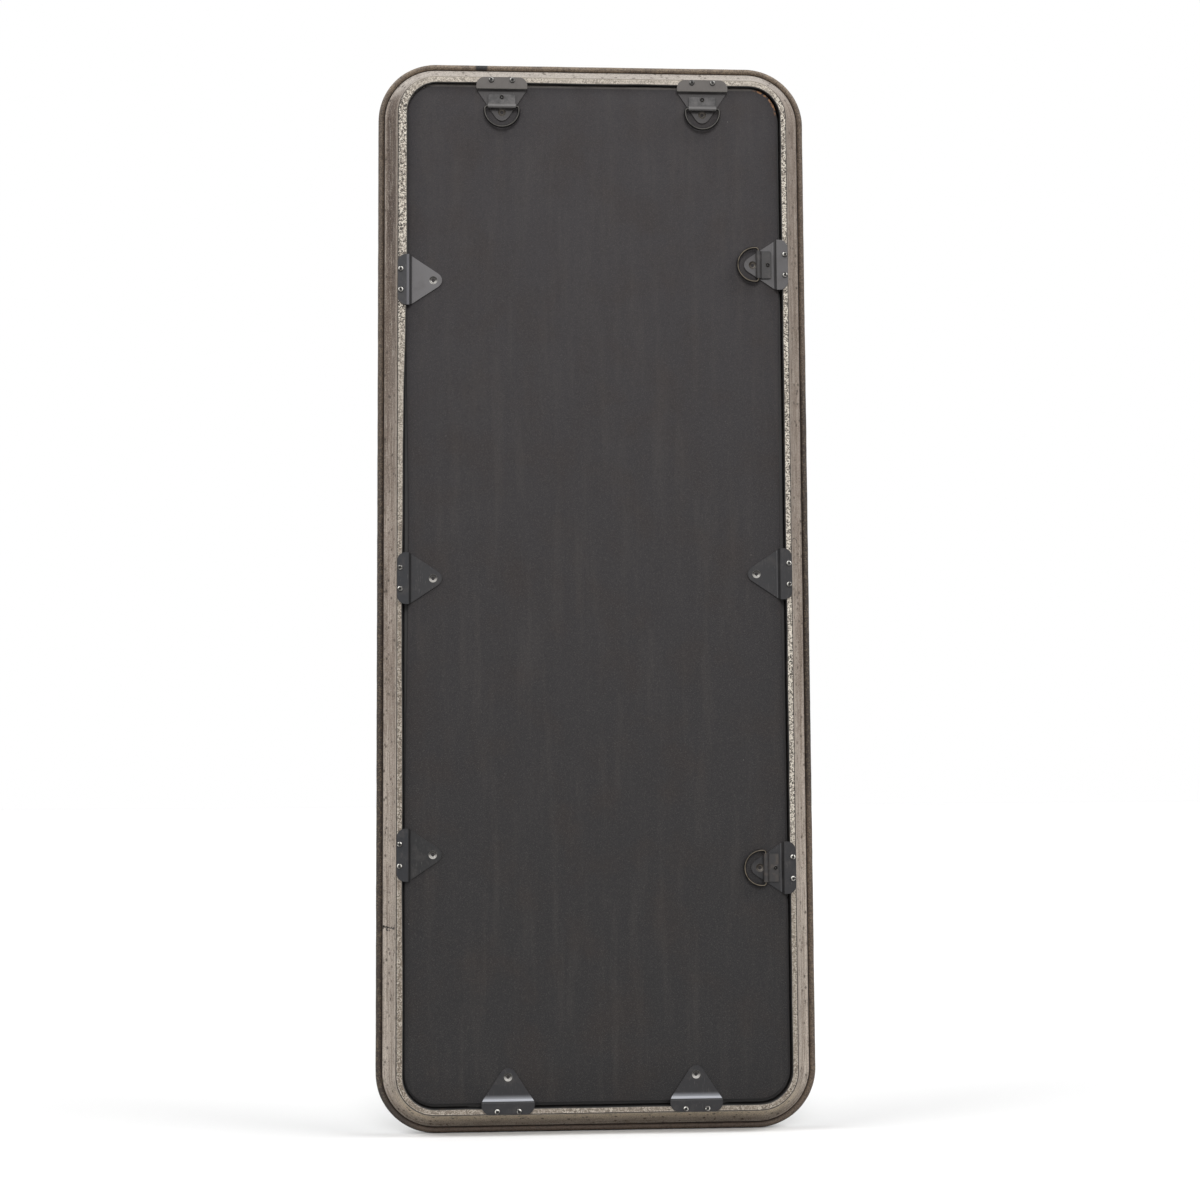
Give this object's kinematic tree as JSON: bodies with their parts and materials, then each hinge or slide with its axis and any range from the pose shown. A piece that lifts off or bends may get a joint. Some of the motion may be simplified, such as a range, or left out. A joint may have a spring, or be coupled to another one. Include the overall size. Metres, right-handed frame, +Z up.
{
  "type": "wall mirror",
  "caption": "Tall rectangular wall mirror with rounded corners in a cast metal frame, its backing board held by bent clips, with swinging D-rings for hanging upright or on its side.",
  "frame": {"origin": "middle of the wall plane, the plane that the heads of the frame screws touch behind the mirror", "axes": "+X to the mirror's left as seen from behind, +Y out of the back towards the wall, +Z up; the glass faces -Y"},
  "size_m": [0.618, 0.0466, 1.524],
  "materials": {
    "cast_metal": "rough sand-cast aluminium with an antique nickel finish, browned in the hollows",
    "mirror_glass": "clear silvered float glass",
    "glazing_tape": "black foam tape",
    "setting_block": "black rubber",
    "foam": "white polyethylene foam",
    "board": "wood fibre board painted matt charcoal",
    "clip_metal": "steel sheet, black semi-matt coating",
    "strap_metal": "steel sheet, black coating",
    "ring_metal": "steel wire, black coating with worn edges",
    "screw_metal": "zinc-plated steel",
    "rivet_metal": "darkened steel"
  },
  "bodies": {
    "root": {"frame": "cast_metal", "mirror_glass": "mirror_glass", "glazing_tape": "glazing_tape", "setting_blocks": "setting_block", "foam_sheet": "foam", "backing_board": "board", "strap_rivets": "rivet_metal", "frame_screws": "screw_metal", "board_screws": "screw_metal", "clip_left_upper": "clip_metal", "clip_left_middle": "clip_metal", "clip_left_lower": "clip_metal", "clip_right_middle": "clip_metal", "clip_bottom_left": "clip_metal", "clip_bottom_right": "clip_metal", "hanger_plate_top_left": "clip_metal", "hanger_plate_top_right": "clip_metal", "hanger_plate_right_upper": "clip_metal", "hanger_plate_right_lower": "clip_metal", "ring_strap_top_left": "strap_metal", "ring_strap_top_right": "strap_metal", "ring_strap_right_upper": "strap_metal", "ring_strap_right_lower": "strap_metal"},
    "ring_top_left": {"d_ring_top_left": "ring_metal"},
    "ring_top_right": {"d_ring_top_right": "ring_metal"},
    "ring_right_upper": {"d_ring_right_upper": "ring_metal"},
    "ring_right_lower": {"d_ring_right_lower": "ring_metal"}
  },
  "joints": [
    {"name": "swing_top_left", "type": "hinge", "parent": "root", "child": "ring_top_left", "pos_m": [0.131, -0.00437, 0.6895], "axis": [1, 0, 0], "range_deg": [-5, 168]},
    {"name": "swing_top_right", "type": "hinge", "parent": "root", "child": "ring_top_right", "pos_m": [-0.158, -0.00437, 0.6895], "axis": [1, 0, 0], "range_deg": [-5, 168]},
    {"name": "swing_right_upper", "type": "hinge", "parent": "root", "child": "ring_right_upper", "pos_m": [-0.2365, -0.00437, 0.462], "axis": [0, 0, 1], "range_deg": [-5, 168]},
    {"name": "swing_right_lower", "type": "hinge", "parent": "root", "child": "ring_right_lower", "pos_m": [-0.2365, -0.00437, -0.398], "axis": [0, 0, 1], "range_deg": [-5, 168]}
  ]
}
